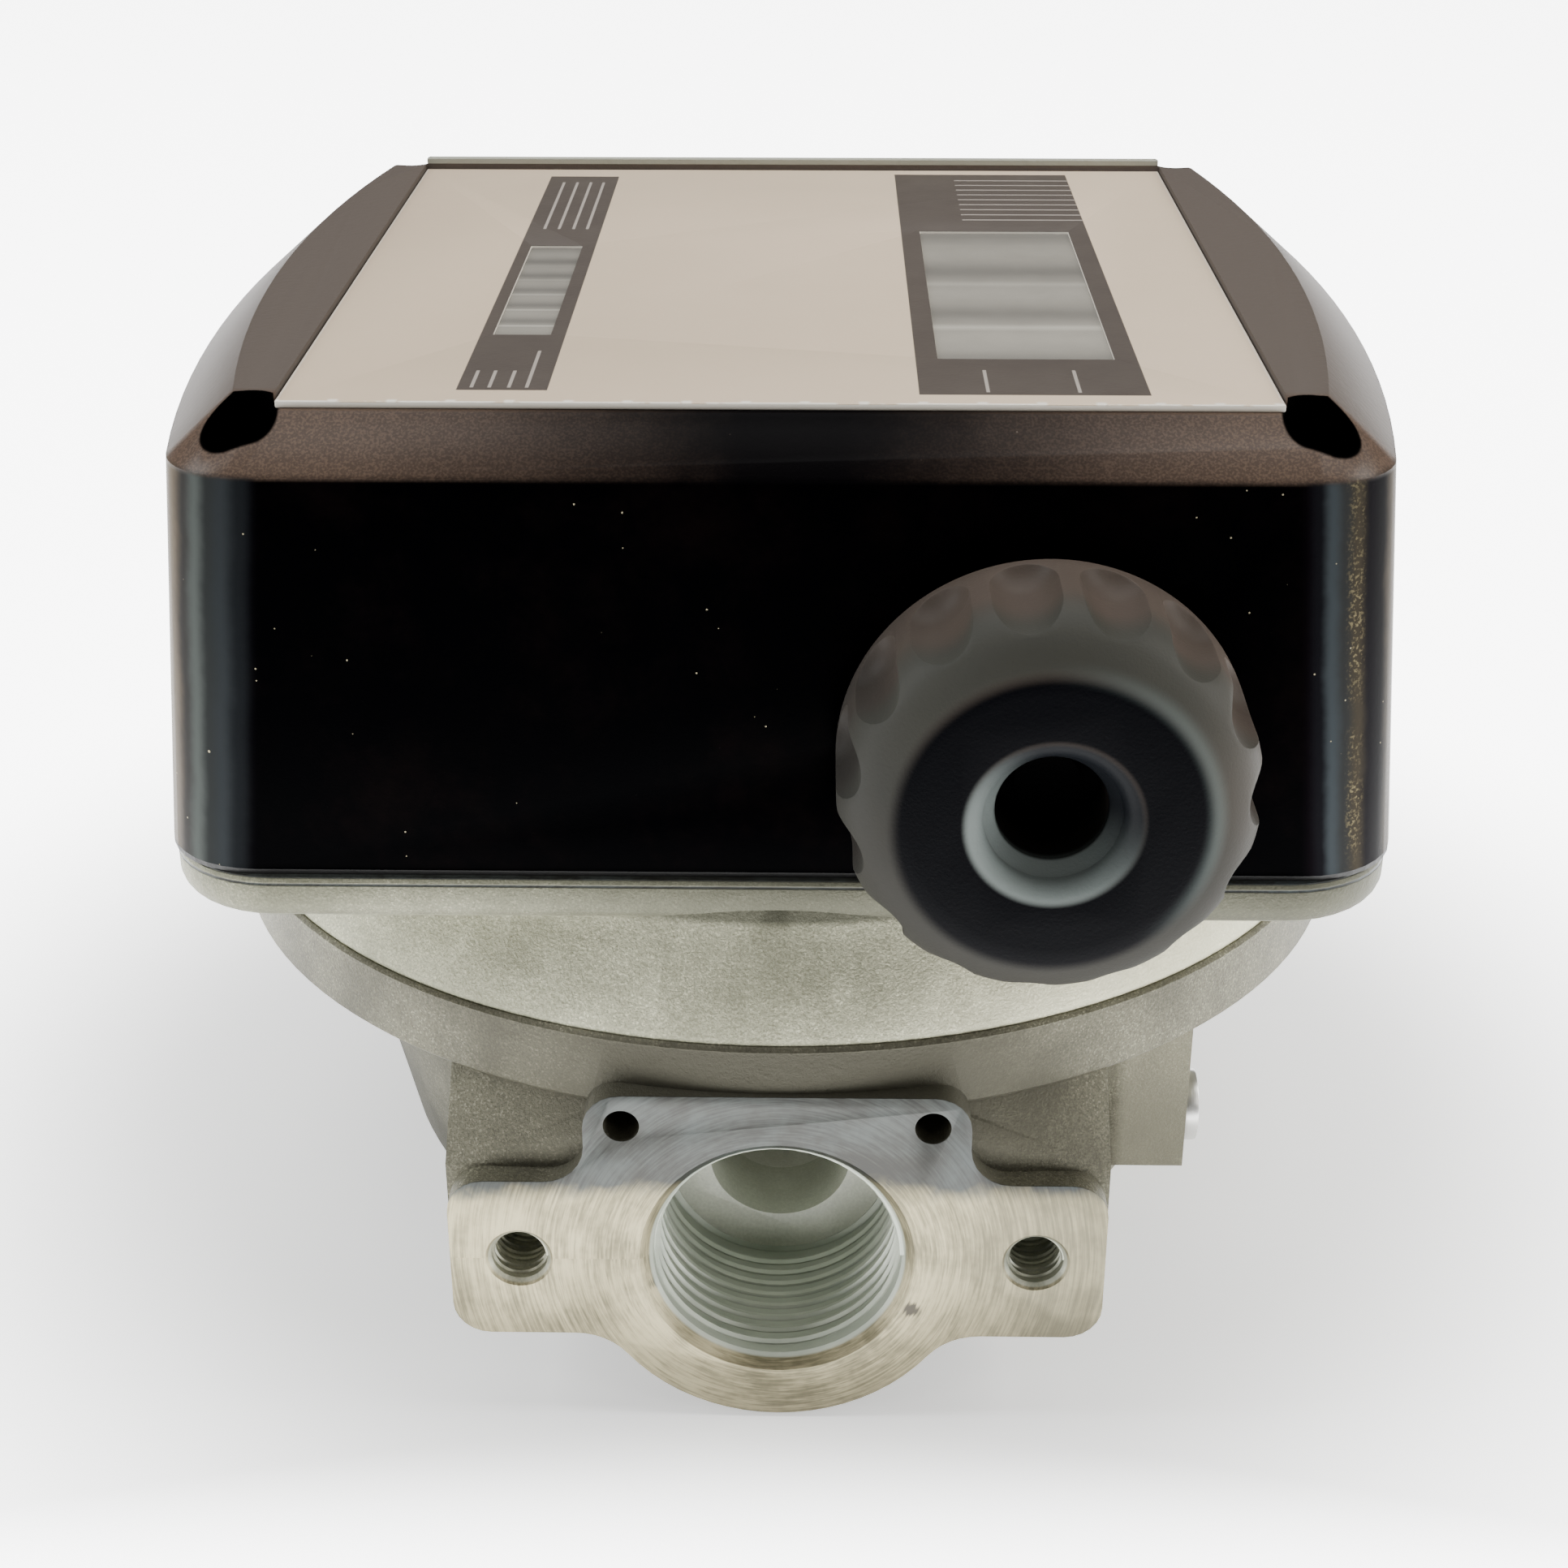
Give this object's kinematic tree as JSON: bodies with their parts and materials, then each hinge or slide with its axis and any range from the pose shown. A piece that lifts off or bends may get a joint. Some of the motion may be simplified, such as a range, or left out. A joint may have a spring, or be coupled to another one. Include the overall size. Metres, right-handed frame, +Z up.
{
  "type": "mechanical diesel flow meter",
  "caption": "Cast flow meter with a threaded port through its base, a measuring chamber, a drum register under a black cover and a reset knob.",
  "frame": {"origin": "centre of the flat underside, on the meter's vertical axis", "axes": "+Z up, -Y out of the front port on the knob side, +X to the right when facing that port"},
  "size_m": [0.1554, 0.1669, 0.1274],
  "materials": {
    "cast_lower": "machined port faces on a blasted casting",
    "cast_upper": "blasted casting",
    "black_gloss": "glossy black coating with fine orange peel",
    "plate": "warm grey printed plate",
    "pane": "frosted clear pane",
    "seal": "plain",
    "screw": "zinc plated",
    "chamber": "pale moulded plastic",
    "disc": "dark moulded plastic",
    "steel": "ground",
    "brass": "turned",
    "gear": "natural moulded plastic",
    "knob": "matte dark grey",
    "drum_white": "moulded white",
    "drum_black": "moulded black",
    "frame": "zinc plated sheet",
    "cap": "turned"
  },
  "bodies": {
    "meter": {"lower_body": "cast_lower", "upper_body": "cast_upper", "register_cover": "black_gloss", "face_plate": "plate", "batch_window": "pane", "total_window": "pane", "cover_gasket": "seal", "cover_screws": "screw", "body_screws": "screw", "o_rings": "seal", "chamber_lower": "chamber", "chamber_upper": "chamber", "partition_plate": "steel", "outlet_nozzle": "chamber", "inlet_strainer": "steel", "shaft_bush": "brass", "shaft_seal": "seal", "gear_arbors": "steel", "front_frame": "frame", "rear_frame": "frame", "frame_pillars": "steel", "frame_screws": "screw", "transfer_plates": "frame", "total_pinion_shaft": "steel", "calibration_cap": "cap"},
    "crank": {"drive_crank": "brass", "drive_shaft": "steel", "drive_pinion": "gear"},
    "disc": {"nutating_disc": "disc", "disc_pin": "steel"},
    "first_gear": {"first_gear": "gear"},
    "second_gear": {"second_gear": "gear"},
    "lay": {"crown_gear": "gear", "lay_shaft": "steel"},
    "batch_idler": {"batch_idler": "gear"},
    "total_idler": {"total_idler": "gear"},
    "batch_units": {"units_drum": "drum_white", "batch_drive_gear": "gear"},
    "batch_tens": {"tens_drum": "drum_white"},
    "batch_hundreds": {"hundreds_drum": "drum_white"},
    "batch_pinion_1": {"batch_pinion_1": "gear"},
    "batch_pinion_2": {"batch_pinion_2": "gear"},
    "total_1": {"total_shaft": "steel", "total_drive_gear": "gear", "total_drum_1": "drum_black"},
    "reset": {"reset_knob": "knob", "knob_screw": "screw", "reset_shaft": "steel"},
    "needle": {"calibration_needle": "brass"},
    "needle_seal": {"calibration_seal": "seal"},
    "total_2": {"total_drum_2": "drum_black"},
    "total_3": {"total_drum_3": "drum_black"},
    "total_4": {"total_drum_4": "drum_black"},
    "total_5": {"total_drum_5": "drum_black"},
    "total_6": {"total_drum_6": "drum_black"},
    "total_pinion_1": {"total_pinion_1": "gear"},
    "total_pinion_2": {"total_pinion_2": "gear"},
    "total_pinion_3": {"total_pinion_3": "gear"},
    "total_pinion_4": {"total_pinion_4": "gear"},
    "total_pinion_5": {"total_pinion_5": "gear"}
  },
  "joints": [
    {"name": "crank_turn", "type": "hinge", "parent": "meter", "child": "crank", "pos_m": [0, 0, 0], "axis": [0, 0, 1], "continuous": true},
    {"name": "disc_turn", "type": "hinge", "parent": "crank", "child": "disc", "pos_m": [0, 0, 0.026], "axis": [0, -0.2079, 0.9781], "continuous": true},
    {"name": "first_turn", "type": "hinge", "parent": "meter", "child": "first_gear", "pos_m": [-0.02673, -0.01073, 0], "axis": [0, 0, 1], "continuous": true},
    {"name": "second_turn", "type": "hinge", "parent": "meter", "child": "second_gear", "pos_m": [-0.024, -0.0394, 0], "axis": [0, 0, 1], "continuous": true},
    {"name": "lay_turn", "type": "hinge", "parent": "meter", "child": "lay", "pos_m": [-0.024, 0, 0.0894], "axis": [0, -1, 0], "continuous": true},
    {"name": "batch_idler_turn", "type": "hinge", "parent": "meter", "child": "batch_idler", "pos_m": [-0.00376, 0, 0.09418], "axis": [0, -1, 0], "continuous": true},
    {"name": "total_idler_turn", "type": "hinge", "parent": "meter", "child": "total_idler", "pos_m": [-0.01891, 0, 0.09754], "axis": [0, -1, 0], "continuous": true},
    {"name": "batch_units_turn", "type": "hinge", "parent": "meter", "child": "batch_units", "pos_m": [0.0295, 0, 0.0894], "axis": [0, -1, 0], "continuous": true},
    {"name": "batch_tens_turn", "type": "hinge", "parent": "meter", "child": "batch_tens", "pos_m": [0.0295, 0, 0.0894], "axis": [0, -1, 0], "continuous": true},
    {"name": "batch_hundreds_turn", "type": "hinge", "parent": "meter", "child": "batch_hundreds", "pos_m": [0.0295, 0, 0.0894], "axis": [0, -1, 0], "continuous": true},
    {"name": "batch_pinion_1_turn", "type": "hinge", "parent": "meter", "child": "batch_pinion_1", "pos_m": [0.03782, 0, 0.10066], "axis": [0, -1, 0], "continuous": true},
    {"name": "batch_pinion_2_turn", "type": "hinge", "parent": "meter", "child": "batch_pinion_2", "pos_m": [0.03782, 0, 0.10066], "axis": [0, -1, 0], "continuous": true},
    {"name": "total_1_turn", "type": "hinge", "parent": "meter", "child": "total_1", "pos_m": [-0.0312, 0, 0.109], "axis": [0, -1, 0], "continuous": true},
    {"name": "total_2_turn", "type": "hinge", "parent": "meter", "child": "total_2", "pos_m": [-0.0312, 0, 0.109], "axis": [0, -1, 0], "continuous": true},
    {"name": "total_3_turn", "type": "hinge", "parent": "meter", "child": "total_3", "pos_m": [-0.0312, 0, 0.109], "axis": [0, -1, 0], "continuous": true},
    {"name": "total_4_turn", "type": "hinge", "parent": "meter", "child": "total_4", "pos_m": [-0.0312, 0, 0.109], "axis": [0, -1, 0], "continuous": true},
    {"name": "total_5_turn", "type": "hinge", "parent": "meter", "child": "total_5", "pos_m": [-0.0312, 0, 0.109], "axis": [0, -1, 0], "continuous": true},
    {"name": "total_6_turn", "type": "hinge", "parent": "meter", "child": "total_6", "pos_m": [-0.0312, 0, 0.109], "axis": [0, -1, 0], "continuous": true},
    {"name": "total_pinion_1_turn", "type": "hinge", "parent": "meter", "child": "total_pinion_1", "pos_m": [-0.04436, 0, 0.10421], "axis": [0, -1, 0], "continuous": true},
    {"name": "total_pinion_2_turn", "type": "hinge", "parent": "meter", "child": "total_pinion_2", "pos_m": [-0.04436, 0, 0.10421], "axis": [0, -1, 0], "continuous": true},
    {"name": "total_pinion_3_turn", "type": "hinge", "parent": "meter", "child": "total_pinion_3", "pos_m": [-0.04436, 0, 0.10421], "axis": [0, -1, 0], "continuous": true},
    {"name": "total_pinion_4_turn", "type": "hinge", "parent": "meter", "child": "total_pinion_4", "pos_m": [-0.04436, 0, 0.10421], "axis": [0, -1, 0], "continuous": true},
    {"name": "total_pinion_5_turn", "type": "hinge", "parent": "meter", "child": "total_pinion_5", "pos_m": [-0.04436, 0, 0.10421], "axis": [0, -1, 0], "continuous": true},
    {"name": "reset_turn", "type": "hinge", "parent": "meter", "child": "reset", "pos_m": [0.0295, 0, 0.0894], "axis": [0, -1, 0], "continuous": true},
    {"name": "needle_feed", "type": "slide", "parent": "meter", "child": "needle_seal", "axis": [1, 0, 0], "range_m": [0, 0.002]},
    {"name": "needle_turn", "type": "hinge", "parent": "needle_seal", "child": "needle", "pos_m": [0.045, -0.0344, 0.0187], "axis": [1, 0, 0], "range_deg": [-720, 0]}
  ],
  "couplings": [
    {"joint": "disc_turn", "follows": "crank_turn", "ratio": -1},
    {"joint": "first_turn", "follows": "crank_turn", "ratio": -0.2},
    {"joint": "second_turn", "follows": "crank_turn", "ratio": 0.04},
    {"joint": "lay_turn", "follows": "crank_turn", "ratio": 0.013333},
    {"joint": "batch_idler_turn", "follows": "crank_turn", "ratio": -0.0059259},
    {"joint": "total_idler_turn", "follows": "crank_turn", "ratio": -0.008},
    {"joint": "batch_units_turn", "follows": "crank_turn", "ratio": 0.0044444},
    {"joint": "batch_tens_turn", "follows": "crank_turn", "ratio": 0.00044444},
    {"joint": "batch_hundreds_turn", "follows": "crank_turn", "ratio": 0.000044444},
    {"joint": "batch_pinion_1_turn", "follows": "crank_turn", "ratio": -0.0011111},
    {"joint": "batch_pinion_2_turn", "follows": "crank_turn", "ratio": -0.00011111},
    {"joint": "total_1_turn", "follows": "crank_turn", "ratio": 0.0044444},
    {"joint": "total_2_turn", "follows": "crank_turn", "ratio": 0.00044444},
    {"joint": "total_3_turn", "follows": "crank_turn", "ratio": 0.000044444},
    {"joint": "total_4_turn", "follows": "crank_turn", "ratio": 0.0000044444},
    {"joint": "total_5_turn", "follows": "crank_turn", "ratio": 0.00000044444},
    {"joint": "total_6_turn", "follows": "crank_turn", "ratio": 0.000000044444},
    {"joint": "total_pinion_1_turn", "follows": "crank_turn", "ratio": -0.0011111},
    {"joint": "total_pinion_2_turn", "follows": "crank_turn", "ratio": -0.00011111},
    {"joint": "total_pinion_3_turn", "follows": "crank_turn", "ratio": -0.000011111},
    {"joint": "total_pinion_4_turn", "follows": "crank_turn", "ratio": -0.0000011111},
    {"joint": "total_pinion_5_turn", "follows": "crank_turn", "ratio": -0.00000011111},
    {"joint": "needle_turn", "follows": "needle_feed", "rad_per_m": -6283.2}
  ]
}
